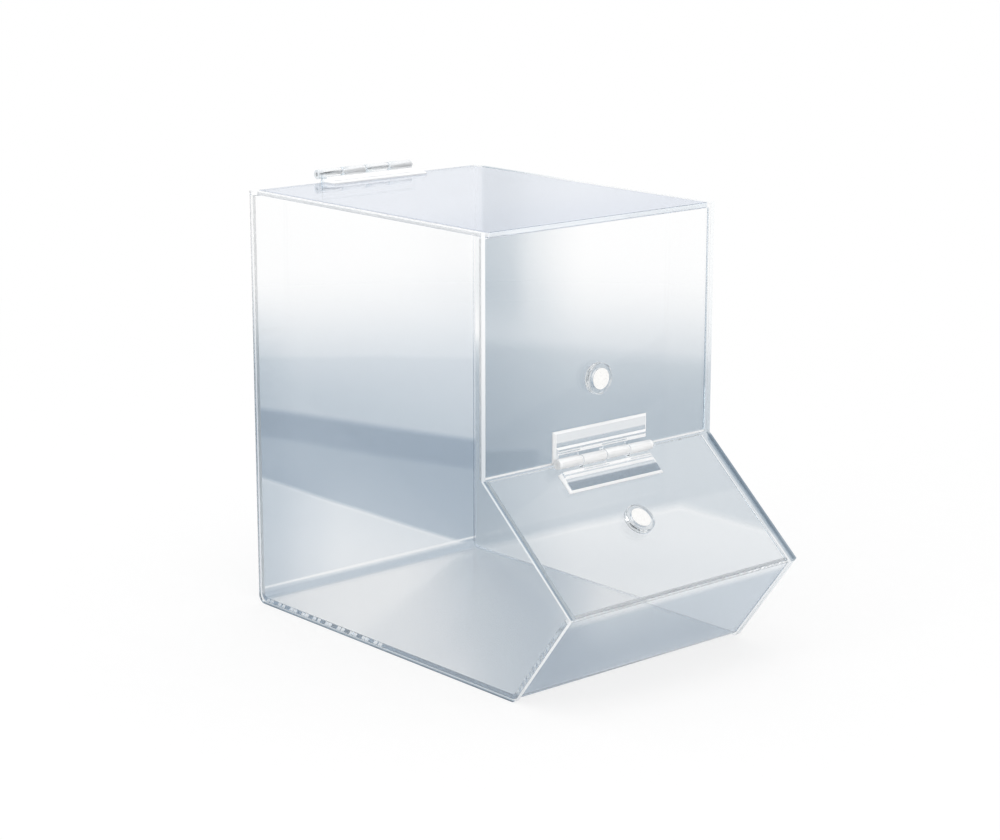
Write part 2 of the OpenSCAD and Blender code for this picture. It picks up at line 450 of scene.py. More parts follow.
@dataclass(frozen=True)
class PaintedShadeBand:
    """A band of painted shade and painted reflection in a sheet, between two straight lines.

    Attributes:
        painted_shade: Extra painted shade just under the upper line.
        rest: Extra painted shade at the lower line.
        top: The upper line.
        foot: The lower line.
        edge: Height over which the upper line fades.
        foot_edge: Height over which the lower line fades.
        reach: Where along the sheet the band is full and where it has gone, or None.
    """

    painted_shade: float
    rest: float
    top: Slant
    foot: Slant = Slant(-1.0)
    edge: float = 6.0 * MM
    foot_edge: float = 6.0 * MM
    reach: Span | None = None

    def depth(self, graph: Graph, run: Socket, z: Socket) -> Socket:
        """Adds the band of painted shade to a material.

        Args:
            graph: The material's node tree.
            run: The point's place along the sheet.
            z: The point's height, with any waver.

        Returns:
            The extra depth.
        """
        over_top = self.top.over(graph, run, z)
        over_foot = self.foot.over(graph, run, z)
        drop = min(self.foot.level - self.top.level, -MM)
        fall = graph.spread(over_top, 0.0, drop, self.painted_shade, self.rest)
        edge, foot_edge = self.edge / 2.0, self.foot_edge / 2.0
        inside = graph.times(graph.spread(over_top, edge, -edge, eased=True),
                             graph.spread(over_foot, -foot_edge, foot_edge, eased=True))
        if self.reach is not None:
            inside = graph.times(inside, graph.spread(run, *self.reach, 1.0, 0.0, eased=True))
        return graph.times(fall, inside)


@dataclass(frozen=True)
class PaintedLightFoot:
    """A lighter foot of painted reflection under a straight line on a sheet, with a thin painted highlight
    line along it.

    Attributes:
        line: The line that it lies under.
        depth: Depth below the line.
        edge: Height over which the line fades.
        glint: Height of the painted highlight line.
        glint_depth: Depth of the painted highlight line as a share of the depth beside it.
    """

    line: Slant
    depth: float
    edge: float = 4.0 * MM
    glint: float = 1.2 * MM
    glint_depth: float = 0.7

    def lighten(self, graph: Graph, run: Socket, z: Socket, depth: Socket) -> Socket:
        """Paints the lighter reflection below the line and the highlight line along it.

        Args:
            graph: The material's node tree.
            run: The point's place along the sheet.
            z: The point's height, with any waver.
            depth: The depth so far.

        Returns:
            The new depth.
        """
        over = self.line.over(graph, run, z)
        mixed = graph.between(depth, self.depth, graph.spread(over, 0.0, -self.edge, eased=True))
        # Painted highlight: a thin clearer line along the edge of the lighter foot.
        from_line = graph.absolute(graph.plus(over, self.edge))
        glint = graph.spread(from_line, 0.0, self.glint, self.glint_depth, 1.0, eased=True)
        return graph.times(mixed, glint)


@dataclass(frozen=True)
class PaintedEndShade:
    """Painted shade towards one end of a sheet; a negative depth paints a lighter strip instead.

    Attributes:
        depth: Extra depth at the end.
        reach: Where along the sheet it starts and where it is full.
        heights: Heights where it starts and where it is full, or None for the whole height.
    """

    depth: float
    reach: Span
    heights: Span | None = None

    def shade(self, graph: Graph, run: Socket, z: Socket) -> Socket:
        """Returns the extra depth."""
        extra = graph.spread(run, *self.reach, 0.0, self.depth, eased=True)
        if self.heights is None:
            return extra
        return graph.times(extra, graph.spread(z, *self.heights, eased=True))


@dataclass(frozen=True)
class PaintedShadeSheet(ClearPlastic):
    """Acrylic sheet whose colour carries painted shade and painted reflections: clear at its rim, darker
    downwards, and clearer again at its foot.

    Attributes:
        rim: Depth of painted shade at the top.
        body: Depth of painted shade below the fade.
        fade: Heights where the fade starts and ends, in metres.
        low: Depth of painted shade at the foot.
        foot: Heights where the foot's clearing starts and ends, in metres.
        bands: Bands of painted shade and painted reflection.
        painted_light_foot: A lighter foot of painted reflection under a straight line, or None.
        painted_end_shades: Painted shade towards the ends.
        painted_rim_bands: Thin bands of painted shade along the rim, over everything else.
        ends: Painted shade on the cut ends that look left and right.
        end_veil: Share of light that those ends scatter.
        edge_veil: Share of light that the other cut edges scatter.
        edge_turn: Cosines to the polished face where that scatter starts and where it is full.
        painted_foot_highlight: Heights where a bright line along the foot is full and where it has gone, or
            None; the line is painted highlight with scatter.
        chips: Places along the sheet where chips in its cut edges start and are at their most, or None.
        painted_dark_edges: Painted shade on the inner half of the cut edges that look one way, by that way.
        edge_depth: Depth of painted shade on the cut edges, or None for that of the faces beside them.
        painted_arris_line: Painted dark line along the broken edge between a face and a cut edge.
        waver: How far the heights drift up and down, in metres.
        cast: Depth in red, green and blue for a depth of one.
    """

    rim: float = 0.0
    body: float = 0.3
    fade: Span = (0.225, 0.122)
    low: float = 0.2
    foot: Span = (0.080, 0.030)
    bands: tuple[PaintedShadeBand, ...] = ()
    painted_light_foot: PaintedLightFoot | None = None
    painted_end_shades: tuple[PaintedEndShade, ...] = ()
    painted_rim_bands: tuple[PaintedShadeBand, ...] = ()
    ends: Span = (0.0, 0.0)
    end_veil: Span = (0.8, 0.8)
    edge_veil: float = 0.8
    edge_turn: Span = (0.4, 0.2)
    painted_foot_highlight: Span | None = None
    chips: Span | None = None
    painted_dark_edges: tuple[tuple[Lie, float], ...] = ()
    edge_depth: float | None = None
    painted_arris_line: float = 1.4
    waver: float = 1.0 * MM
    cast: Colour = SmokeAndPaintedShade.cast

    DEEPEST = 2.4
    STEPS = 11
    DRIFT_SCALE = 9.0
    END_TURN = (0.3, 0.7)
    DARK_TURN = (0.8, 0.95)
    DARK_HALF = (90.9 * MM, 90.2 * MM)
    CHIP_SCALE = 420.0
    CHIP_NOISE = (0.50, 0.56)
    ARRIS_TURN = (0.985, 0.93, 0.3, 0.15)

    def colour_of(self, graph: Graph, depth: Socket) -> Socket:
        """Returns the colour for this depth of painted shade and painted reflection."""
        shares = [step / (self.STEPS - 1) for step in range(self.STEPS)]
        colours = [SmokeAndPaintedShade(share * self.DEEPEST, self.cast).tint() for share in shares]
        return graph.ramp(graph.math("DIVIDE", depth, self.DEEPEST), shares, colours, smooth=False)

    def face_depth(self, graph: Graph) -> Socket:
        """Grades the painted shade of the polished faces by place.

        Args:
            graph: The material's node tree.

        Returns:
            The depth.
        """
        run = graph.y if self.lie in (Lie.SIDE, Lie.TOP) else graph.x
        drift = graph.spread(graph.noise(self.DRIFT_SCALE, 1.0), *NOISE_SPAN, -self.waver, self.waver)
        level = graph.plus(graph.z, drift)
        depth = graph.spread(level, *self.fade, self.rim, self.body, eased=True)
        depth = graph.plus(depth, graph.spread(level, *self.foot, 0.0, self.low - self.body, eased=True))
        for band in self.bands:
            depth = graph.plus(depth, band.depth(graph, run, level))
        if self.painted_light_foot is not None:
            depth = self.painted_light_foot.lighten(graph, run, level, depth)
        for shade in self.painted_end_shades:
            depth = graph.plus(depth, shade.shade(graph, run, level))
        for band in self.painted_rim_bands:
            depth = graph.plus(depth, band.depth(graph, run, graph.z))
        return depth

    def end_share(self, graph: Graph) -> Socket | float:
        """Returns how much of the ends' painted shade shows at a place."""
        return 1.0

    def at_ends(self, graph: Graph, levels: Span) -> list[Socket]:
        """Returns one level on the ends that look left and another on those that look right."""
        look = graph.facing(Lie.SIDE.value)
        low, high = self.END_TURN
        sides = zip((-1.0, 1.0), levels)
        return [graph.spread(look, side * low, side * high, 0.0, level) for side, level in sides]

    def on_painted_foot_highlight(self, graph: Graph) -> Socket:
        """Returns 1 on the bright line along the foot, a painted highlight, and 0 above it."""
        return graph.spread(graph.z, *self.painted_foot_highlight, 1.0, 0.0)

    def veil(self, graph: Graph) -> Socket:
        """Scatters light at the cut edges, and at the ends as set.

        Args:
            graph: The material's node tree.

        Returns:
            The share of light that the surface scatters.
        """
        level = graph.times(graph.outside(), self.edge_veil)
        if self.chips is not None:
            flaked = graph.spread(graph.noise(self.CHIP_SCALE), *self.CHIP_NOISE)
            level = graph.most(level, graph.times(flaked, graph.spread(graph.x, *self.chips)))
        veil = graph.times(graph.cut_edges(self.lie, self.edge_turn), level)
        if self.lie is Lie.SIDE:
            return veil
        ends = graph.plus(*self.at_ends(graph, (1.0, 1.0)))
        veil = graph.times(veil, graph.rest(ends))
        ends = graph.plus(*self.at_ends(graph, self.end_veil))
        veil = graph.plus(veil, graph.times(ends, graph.outside()))
        if self.painted_foot_highlight is None:
            return veil
        line = graph.times(self.on_painted_foot_highlight(graph), self.edge_veil)
        return graph.most(veil, graph.times(line, graph.outside()))

    def tint(self, graph: Graph) -> Socket:
        """Grades the sheet's colour by place with painted shade and painted reflections, with painted dark
        lines along its edges and its ends as set.

        Args:
            graph: The material's node tree.

        Returns:
            The colour that the sheet lets through.
        """
        depth = self.face_depth(graph)
        if self.edge_depth is not None:
            depth = graph.between(depth, self.edge_depth, graph.cut_edges(self.lie))
        # Painted highlight: the colour clears along the bright line at the foot.
        if self.painted_foot_highlight is not None:
            depth = graph.between(depth, 0.0, self.on_painted_foot_highlight(graph))
        # Painted shade on the inner half of the cut edges that look one way.
        for lie, extra in self.painted_dark_edges:
            inner = graph.spread(graph.absolute(graph.x), *self.DARK_HALF)
            dark = graph.spread(graph.lined_up(lie.value), *self.DARK_TURN, 0.0, extra)
            depth = graph.plus(depth, graph.times(dark, inner))
        # Painted shade on the cut ends that look left and right.
        if any(self.ends):
            marked = graph.plus(*self.at_ends(graph, self.ends))
            depth = graph.plus(depth, graph.times(marked, self.end_share(graph)))
        # Painted dark line along the broken edges.
        if self.painted_arris_line and self.lie is not Lie.BENT:
            look = graph.lined_up(self.lie.value)
            face, start, end, edge = self.ARRIS_TURN
            line = graph.times(graph.spread(look, face, start), graph.spread(look, edge, end))
            depth = graph.math("MULTIPLY_ADD", line, self.painted_arris_line, depth)
        return self.colour_of(graph, depth)


@dataclass(frozen=True)
class BentSheet(PaintedShadeSheet):
    """Sheet that is bent into a back, a bottom and a lip.

    Attributes:
        bottom: Depth of painted shade on the bottom at its light and its dark corner.
        bottom_way: Direction across the bottom from light to dark.
        bottom_span: Places along that direction where the darkening starts and ends.
        corner: Share of that depth that is left in the front right corner, beside the lip and at it.
        heel: Depth of painted shade on the bend between the back and the bottom.
        lip: Depth of painted shade on the lip.
        lip_rim: Depth of painted shade on the lip's upper rim.
        scuff: Roughness that scoops leave on the bottom.
    """

    bottom: Span = (0.0, 0.47)
    bottom_way: Way = (0.8, -0.6, 0.0)
    bottom_span: Span = (-72.0 * MM, 32.0 * MM)
    corner: Span = (0.15, 0.75)
    heel: float = 0.5
    lip: float = 0.42
    lip_rim: float = 0.1
    scuff: float = 0.18

    BOTTOM_TOP = (7.0 * MM, 4.0 * MM)
    CORNER_WAY = (1.0, -1.0, 0.0)
    CORNER_SPAN = (25.0 * MM, 85.0 * MM)
    CORNER_FRONT = (-30.0 * MM, -75.0 * MM)
    HEEL_START = (134.0 * MM, 137.0 * MM)
    HEEL_TOP = (8.5 * MM, 6.5 * MM)
    # Painted highlight line along the top of the bend: its height, half width and faded width.
    PAINTED_HEEL_HIGHLIGHT = (9.8 * MM, 0.3 * MM, 1.1 * MM)
    LIP_START = (-98.0 * MM, -110.0 * MM)
    LIP_TOP = (50.0 * MM, 56.0 * MM)
    LIP_END_SHARE = 0.25
    RIM_WAY = (0.0, -0.608, 0.794)
    RIM_TURN = (0.85, 0.95)

    def zones(self, graph: Graph) -> tuple[Socket, Socket]:
        """Returns the shares of the bottom and of the lip at a place."""
        bottom = graph.spread(graph.z, *self.BOTTOM_TOP, eased=True)
        return bottom, graph.spread(graph.y, *self.LIP_START, eased=True)

    def painted_bottom_shade(self, graph: Graph) -> Socket:
        """Returns the painted shade of the bottom, which lightens again in its front right corner."""
        across = graph.along(graph.point, self.bottom_way)
        bottom = graph.spread(across, *self.bottom_span, *self.bottom, eased=True)
        near = graph.spread(graph.along(graph.point, self.CORNER_WAY), *self.CORNER_SPAN, eased=True)
        left_over = graph.spread(graph.y, *self.CORNER_FRONT, *self.corner)
        return graph.times(bottom, graph.between(1.0, left_over, near))

    def face_depth(self, graph: Graph) -> Socket:
        """Grades the painted shade of the back, the bottom, the bend between them and the lip, with a
        painted highlight line above the bend.

        Args:
            graph: The material's node tree.

        Returns:
            The depth.
        """
        bottom_zone, lip_zone = self.zones(graph)
        depth = graph.between(super().face_depth(graph), self.painted_bottom_shade(graph), bottom_zone)
        heel = graph.times(graph.spread(graph.y, *self.HEEL_START), graph.spread(graph.z, *self.HEEL_TOP))
        depth = graph.between(depth, self.heel, heel)
        # Painted highlight: the depth clears to nothing along a thin line above the bend.
        height, half, faded = self.PAINTED_HEEL_HIGHLIGHT
        from_line = graph.absolute(graph.minus(graph.z, height))
        depth = graph.times(depth, graph.spread(from_line, half, faded, 0.0, 1.0, eased=True))
        lip = graph.spread(graph.z, *self.LIP_TOP, self.lip, self.lip_rim, eased=True)
        return graph.between(depth, lip, lip_zone)

    def roughness(self, graph: Graph) -> Socket:
        """Returns the roughness, with the upper face of the bottom scuffed."""
        bottom_zone, _ = self.zones(graph)
        upper = graph.spread(graph.facing(Lie.TOP.value), *self.RIM_TURN, 0.0, self.scuff)
        return graph.most(super().roughness(graph), graph.times(upper, bottom_zone))

    def end_share(self, graph: Graph) -> Socket:
        """Returns how much of the ends' painted shade shows: all of it under the bottom and some on the
        lip.
        """
        bottom_zone, lip_zone = self.zones(graph)
        return graph.most(bottom_zone, graph.times(lip_zone, self.LIP_END_SHARE))

    def veil(self, graph: Graph) -> Socket:
        """Scatters light at the lip's upper rim and at the ends, but not where the left end carries painted
        shade.

        Args:
            graph: The material's node tree.

        Returns:
            The share of light that the surface scatters.
        """
        left, right = self.at_ends(graph, self.end_veil)
        bottom_zone, lip_zone = self.zones(graph)
        left = graph.times(left, graph.rest(graph.most(bottom_zone, lip_zone)))
        rim = graph.spread(graph.facing(self.RIM_WAY), *self.RIM_TURN, 0.0, self.edge_veil)
        veil = graph.most(graph.plus(left, right), graph.times(rim, lip_zone))
        return graph.times(veil, graph.outside())


@dataclass(frozen=True)
class NickelPlate:
    """Bright nickel on the face of a magnet, with fine spots, and its dark bare side.

    Attributes:
        name: The material's name.
        lie: The way that the magnet's face looks.
        colour: Colour of the plate.
        worn: Brightness of its spots, as a share.
        side: Colour of the side.
        roughness: Roughness in the spots and between them.
        relief: Height of the spots, in metres.
    """

    name: str
    lie: Lie
    colour: Colour = (0.99, 0.985, 0.97)
    worn: float = 0.95
    side: Colour = (0.10, 0.11, 0.12)
    roughness: Span = (0.32, 0.16)
    relief: float = 0.01 * MM

    SPOT_SCALE = 900.0
    SPOT_DETAIL = 4.0
    SPOT_SPAN = (0.35, 0.6)
    RELIEF_SHARE = 0.4

    def material(self) -> Material:
        """Builds the node tree and returns the finished material."""
        graph = Graph(self.name)
        spots = graph.noise(self.SPOT_SCALE, self.SPOT_DETAIL)
        face = graph.ramp(spots, self.SPOT_SPAN, ([part * self.worn for part in self.colour], self.colour))
        sockets = {"Factor": graph.cut_edges(self.lie), 6: face, 7: (*self.side, 1.0)}
        colour = graph.add("Mix", sockets, data_type="RGBA").outputs[2]
        rough = graph.spread(spots, *NOISE_SPAN, *self.roughness)
        bump = graph.add("Bump", {"Height": spots, "Distance": self.relief, "Strength": self.RELIEF_SHARE})
        return graph.output(graph.add("BsdfPrincipled", {
            "Base Color": colour, "Metallic": 1.0, "Roughness": rough, "Normal": bump.outputs[0],
        }))


@dataclass(frozen=True)
class AirBubble:
    """The white glint of air caught in a solvent weld.

    Attributes:
        name: The material's name.
        pale: Colour of a full bubble.
        thin: Colour where the film is thinner.
        roughness: Roughness where the film is thin and where it is full.
    """

    name: str
    pale: Colour = (0.96, 0.98, 1.0)
    thin: Colour = (0.72, 0.80, 0.88)
    roughness: Span = (0.15, 0.4)

    FILM_SCALE = 700.0
    FILM_SPAN = (0.3, 0.55)

    def material(self) -> Material:
        """Builds the node tree and returns the finished material."""
        graph = Graph(self.name)
        film = graph.noise(self.FILM_SCALE)
        colour = graph.ramp(film, self.FILM_SPAN, (self.thin, self.pale))
        rough = graph.spread(film, *NOISE_SPAN, *self.roughness)
        sockets = {"Base Color": colour, "Roughness": rough, "Metallic": 1.0}
        return graph.output(graph.add("BsdfPrincipled", sockets))


def put_material(piece: Object, material: Material) -> None:
    """Makes a material the only one of a piece."""
    piece.data.materials.clear()
    piece.data.materials.append(material)


def new_object(name: str, data: bpy.types.ID) -> Object:
    """Returns a new object of the scene that holds a mesh, a light or a camera."""
    made = bpy.data.objects.new(name, data)
    bpy.context.scene.collection.objects.link(made)
    return made


def mesh_object(name: str, sketch: bmesh.types.BMesh, material: Material) -> Object:
    """Turns a sketch into an object of the scene, frees the sketch and returns the object."""
    mesh = bpy.data.meshes.new(name)
    sketch.to_mesh(mesh)
    sketch.free()
    piece = new_object(name, mesh)
    put_material(piece, material)
    return piece


@dataclass(frozen=True)
class EdgeBreak:
    """The fine chamfer that sanding or a mould leaves on every edge.

    Attributes:
        width: Width of the chamfer, in metres.
        rounds: Faces across it.
        sharpest: Edges that turn by less than this, in degrees, are left alone.
        join: Corners closer than this are one, in metres.
    """

    width: float = 0.3 * MM
    rounds: int = 2
    sharpest: float = 28.0
    join: float = 0.002 * MM

    def put_on(self, piece: Object) -> None:
        """Adds the modifiers that break the edges of a CAD node."""
        weld = piece.modifiers.new("join_faces", "WELD")
        weld.merge_threshold = self.join
        bevel = piece.modifiers.new("break_edges", "BEVEL")
        bevel.width = self.width
        bevel.segments = self.rounds
        bevel.limit_method = "ANGLE"
        bevel.angle_limit = math.radians(self.sharpest)
        bevel.harden_normals = True


@dataclass
class CadPiece:
    """A CAD node that keeps its shape and gets a finish.

    Attributes:
        node: The node's name.
        finish: The finish that dresses it.
        edge: The chamfer on its edges.
    """

    node: str
    finish: ClearPlastic | NickelPlate
    edge: EdgeBreak = EdgeBreak()

    def dress(self) -> Object:
        """Puts the finish and the edge break on the node and returns its object."""
        piece = frame["nodes"][self.node]
        put_material(piece, self.finish.material())
        self.edge.put_on(piece)
        return piece


@dataclass
class Case:
    """The welded case: two side panels, the bent shell and the front panel.

    Attributes:
        left: Finish of the left side panel.
        right: Finish of the right side panel.
        shell: Finish of the back, bottom and lip.
        front: Finish of the front panel.
        front_edge: The wider chamfer on the front panel's edges.
    """

    # The depths, bands, end shades, lighter feet and dark lines of these sheets are painted shade and
    # painted reflections, with painted highlight lines.
    left: PaintedShadeSheet = PaintedShadeSheet(
        "left_sheet", lie=Lie.SIDE, body=0.27, fade=(0.218, 0.122), low=0.06, foot=(0.135, 0.045),
        painted_end_shades=(PaintedEndShade(0.14, (0.09, 0.145), (0.21, 0.15)),),
        painted_rim_bands=(PaintedShadeBand(1.2, 1.2, Slant(0.9 * MM), edge=0.3 * MM),),
        painted_dark_edges=((Lie.SLOPE, 0.9),), painted_arris_line=0.2)
    right: PaintedShadeSheet = PaintedShadeSheet(
        "right_sheet", lie=Lie.SIDE, low=0.3,
        bands=(PaintedShadeBand(0.13, 0.06, Slant(0.160, -0.087), Slant(0.055, -0.374), edge=14.0 * MM),),
        painted_light_foot=PaintedLightFoot(Slant(0.057, -0.374, 0.077), 0.10, 7.0 * MM, 2.0 * MM),
        painted_rim_bands=(PaintedShadeBand(0.8, 0.8, Slant(0.195, 0.865), Slant(0.1868, 0.865), foot_edge=1.0 * MM,
                             reach=(-0.0785, -0.0765)),),
        painted_dark_edges=((Lie.SLOPE, 0.4),),
        painted_end_shades=(PaintedEndShade(0.28, (0.03, 0.15)), PaintedEndShade(0.16, (0.03, 0.15), (0.15, 0.19)),
                PaintedEndShade(0.12, (0.085, 0.110), (0.15, 0.19)),
                PaintedEndShade(-0.5, (0.1335, 0.1365), (0.12, 0.16))))
    shell: BentSheet = BentSheet(
        "shell_sheet", lie=Lie.BENT, body=0.27, fade=(0.218, 0.122), low=0.27,
        bands=(PaintedShadeBand(0.07, 0.07, Slant(0.1486, -0.137), edge=4.0 * MM),
               PaintedShadeBand(0.28, 0.28, Slant(0.1035, -0.275)),
               PaintedShadeBand(0.20, 0.20, Slant(0.1035, -0.275), Slant(0.0845, -0.294))),
        painted_light_foot=PaintedLightFoot(Slant(0.0456, -0.451), 0.15),
        painted_end_shades=(PaintedEndShade(0.22, (-0.02, -0.08), (0.10, 0.06)),),
        ends=(1.2, 0.0), end_veil=(0.8, 0.0), edge_veil=1.0, edge_depth=0.0, cast=(1.25, 1.0, 0.77))
    front: PaintedShadeSheet = PaintedShadeSheet(
        "front_sheet", lie=Lie.FRONT, low=0.3, ends=(0.0, 1.3), end_veil=(0.8, 0.0), edge_depth=0.0,
        painted_arris_line=0.0, edge_turn=(0.95, 0.85), painted_foot_highlight=(0.1255, 0.1260),
        bands=(PaintedShadeBand(0.16, 0.16, Slant(0.127, -0.155), reach=(-0.052, -0.040), edge=5.0 * MM),))
    front_edge: EdgeBreak = EdgeBreak(0.8 * MM)

    def build(self) -> list[Object]:
        """Dresses the four sheets and returns their objects."""
        sheets = {"side_left": self.left, "side_right": self.right, "shell": self.shell}
        pieces = [CadPiece(node, finish).dress() for node, finish in sheets.items()]
        return pieces + [CadPiece("front_panel", self.front, self.front_edge).dress()]


@dataclass
class Doors:
    """The serving flap and the lid.

    Attributes:
        flap: Finish of the flap.
        lid: Finish of the lid.
    """

    # The depths and end shade of the flap and the lid are painted shade and painted reflection.
    flap: PaintedShadeSheet = PaintedShadeSheet(
        "flap_sheet", lie=Lie.SLOPE, rim=0.03, body=0.09, fade=(0.124, 0.085), low=0.09,
        ends=(0.3, 0.3), end_veil=(0.8, 0.0), edge_veil=0.35, chips=(0.03, 0.06), painted_arris_line=0.5)
    lid: PaintedShadeSheet = PaintedShadeSheet(
        "lid_sheet", lie=Lie.TOP, rim=0.29, body=0.29, low=0.29, painted_end_shades=(PaintedEndShade(0.10, (0.03, -0.07)),),
        edge_veil=0.5, edge_depth=0.05, painted_arris_line=0.35, cast=(1.23, 1.0, 0.6))

    def build(self) -> list[Object]:
        """Dresses the two doors and returns their objects."""
        return [CadPiece("flap", self.flap).dress(), CadPiece("lid", self.lid).dress()]


@dataclass
class KnuckleHinge:
    """A moulded knuckle hinge of two leaves and a pin.

    Attributes:
        joint: Name of its joint.
        leaves: Names of its leaves, with the way each lies and 1 or -1 for the side of its open face.
        pale: The leaf whose outer part is pale.
        pale_span: Distances from the axis where that part starts and is full.
        finish: The moulding's finish.
    """

    joint: str
    leaves: dict[str, tuple[Lie, float]]
    pale: str
    pale_span: Span
    finish: HingeMoulding

    def finish_of(self, node: str, lie: Lie, outward: float) -> HingeMoulding:
        """Returns the moulding's finish for one of the hinge's pieces."""
        own = {"pale": self.pale_span, "outer_painted_shade": 0.0} if node == self.pale else {}
        name = f"{node}_moulding"
        return replace(self.finish, name=name, lie=lie, joint=self.joint, outward=outward, **own)

    def build(self) -> list[Object]:
        """Dresses the leaves and the pin and returns their objects."""
        pieces = {**self.leaves, f"{self.joint}_pin": (Lie.SIDE, 0.0)}
        return [CadPiece(node, self.finish_of(node, *way)).dress() for node, way in pieces.items()]


@dataclass
class MagnetCatch:
    """A magnet in a round clear cup.

    Attributes:
        cup: Node of the cup.
        magnet: Node of the magnet.
        lie: The way that the catch looks.
        cup_finish: Finish of the cup.
        cup_edge: The finer chamfer on the cup's edges.
    """

    cup: str
    magnet: str
    lie: Lie
    cup_finish: ClearPlastic = ClearPlastic(
        "catch_cup", gloss_roughness=(0.0, 0.02), wave=0.004 * MM, wave_scale=60.0,
        bulk_colour=(0.55, 0.60, 0.63), bulk_density=40.0)
    cup_edge: EdgeBreak = EdgeBreak(0.15 * MM)

    def build(self) -> list[Object]:
        """Dresses the cup and the magnet and returns their objects."""
        plate = NickelPlate(f"{self.magnet}_nickel", self.lie)
        cup = CadPiece(self.cup, self.cup_finish, self.cup_edge)
        return [cup.dress(), CadPiece(self.magnet, plate).dress()]


@dataclass(frozen=True)
class WeldRow:
    """A row of air bubbles caught between the left side panel and the edge of the shell.

    Attributes:
        name: The piece's name.
        start: First end of the row along the middle of the sheet, as y and z in metres.
        end: Second end of the row, nearer to the front.
        pitch: Distance from one group of bubbles to the next.
        bars: Each bubble of a group, as its place in the group and its width.
        slant: How far the top of a bubble leans along the row.
        share: Height of a bubble as a share of the sheet's thickness.
        finish: The look of the bubbles.
    """

    name: str
    start: Span
    end: Span
    pitch: float
    bars: tuple[Span, ...]
    slant: float
    share: float = 0.94
    finish: AirBubble = AirBubble("weld_air")


@dataclass
class WeldSeams:
    """The bubbles in the solvent welds between the shell and the left side panel.

    Attributes:
        rows: The rows of bubbles.
        sheet: Thickness of the sheet.
        film: Thickness of a bubble as a share of the weld gap.
        corner: Rounding of a bubble's corners, as a share of its width.
        jitter: How far a bubble's places and sizes vary, as a share.
        seed: Start of the random draws.
    """

    rows: tuple[WeldRow, ...] = (
        WeldRow("weld_bubbles_bottom_left", (0.137, 0.0025), (0.004, 0.0025), pitch=12.3 * MM,
                bars=((0.0, 3.6 * MM), (4.1 * MM, 3.4 * MM)), slant=1.6 * MM),
        WeldRow("weld_bubbles_lip_left", (-0.1075, 0.0083), (-0.1410, 0.0520), pitch=4.6 * MM,
                bars=((0.0, 1.5 * MM),), slant=1.4 * MM,
                finish=AirBubble("weld_void", (0.50, 0.57, 0.65), (0.33, 0.40, 0.48))),
    )
    sheet: float = 3.0 * MM
    film: float = 0.6
    corner: float = 0.3
    jitter: float = 0.16
    seed: int = 7

    def outline(self, row: WeldRow, draw: random.Random, place: float, width: float) -> list[Span]:
        """Draws one bubble with cut corners.

        Args:
            row: The row that it belongs to.
            draw: Source of the small variations.
            place: Its place along the row.
            width: Its width along the row.

        Returns:
            Points as distances along the row and across the sheet.
        """
        width *= 1.0 + draw.uniform(-self.jitter, self.jitter)
        half = self.sheet * row.share * (1.0 - draw.uniform(0.0, self.jitter)) / 2.0
        cut = self.corner * min(width, half)
        points = []
        for across, order in ((-half, 1), (half, -1)):
            inset = across - math.copysign(cut, across)
            lean = row.slant * across / self.sheet
            side = [(0.0, inset), (cut, across), (width - cut, across), (width, inset)]
            points += [(place + lean + along, level) for along, level in side][::order]
        return points

    def add_bubble(self, sketch: bmesh.types.BMesh, flat: list[Vector], depths: Span) -> None:
        """Adds one closed bubble to a sketch.

        Args:
            sketch: The sketch.
            flat: Its outline, as points of y and z.
            depths: Its two ends along x.
        """
        near, far = ([sketch.verts.new((x, at.x, at.y)) for at in flat] for x in depths)
        sketch.faces.new(near)
        sketch.faces.new(far[::-1])
        for i in range(len(flat)):
            j = (i + 1) % len(flat)
            sketch.faces.new((near[j], near[i], far[i], far[j]))

    def build_row(self, row: WeldRow) -> Object:
        """Makes one row of bubbles.

        Args:
            row: The row.

        Returns:
            Its object.
        """
        draw = random.Random(self.seed)
        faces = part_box("side_left")[1].x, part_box("shell")[0].x
        middle = sum(faces) / 2.0
        deep = (faces[1] - faces[0]) * self.film / 2.0
        start, end = Vector(row.start), Vector(row.end)
        run = (end - start).normalized()
        up = Vector((run.y, -run.x))
        sketch = bmesh.new()
        for group in range(int((end - start).length / row.pitch)):
            for offset, width in row.bars:
                place = group * row.pitch + offset + draw.uniform(-1.0, 1.0) * self.jitter * width
                points = self.outline(row, draw, place, width)
                flat = [start + run * along + up * across for along, across in points]
                self.add_bubble(sketch, flat, (middle - deep, middle + deep))
        bmesh.ops.recalc_face_normals(sketch, faces=sketch.faces)
        piece = mesh_object(row.name, sketch, row.finish.material())
        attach(piece, "bin")
        return piece

    def build(self) -> list[Object]:
        """Makes every row and returns their objects."""
        return [self.build_row(row) for row in self.rows]


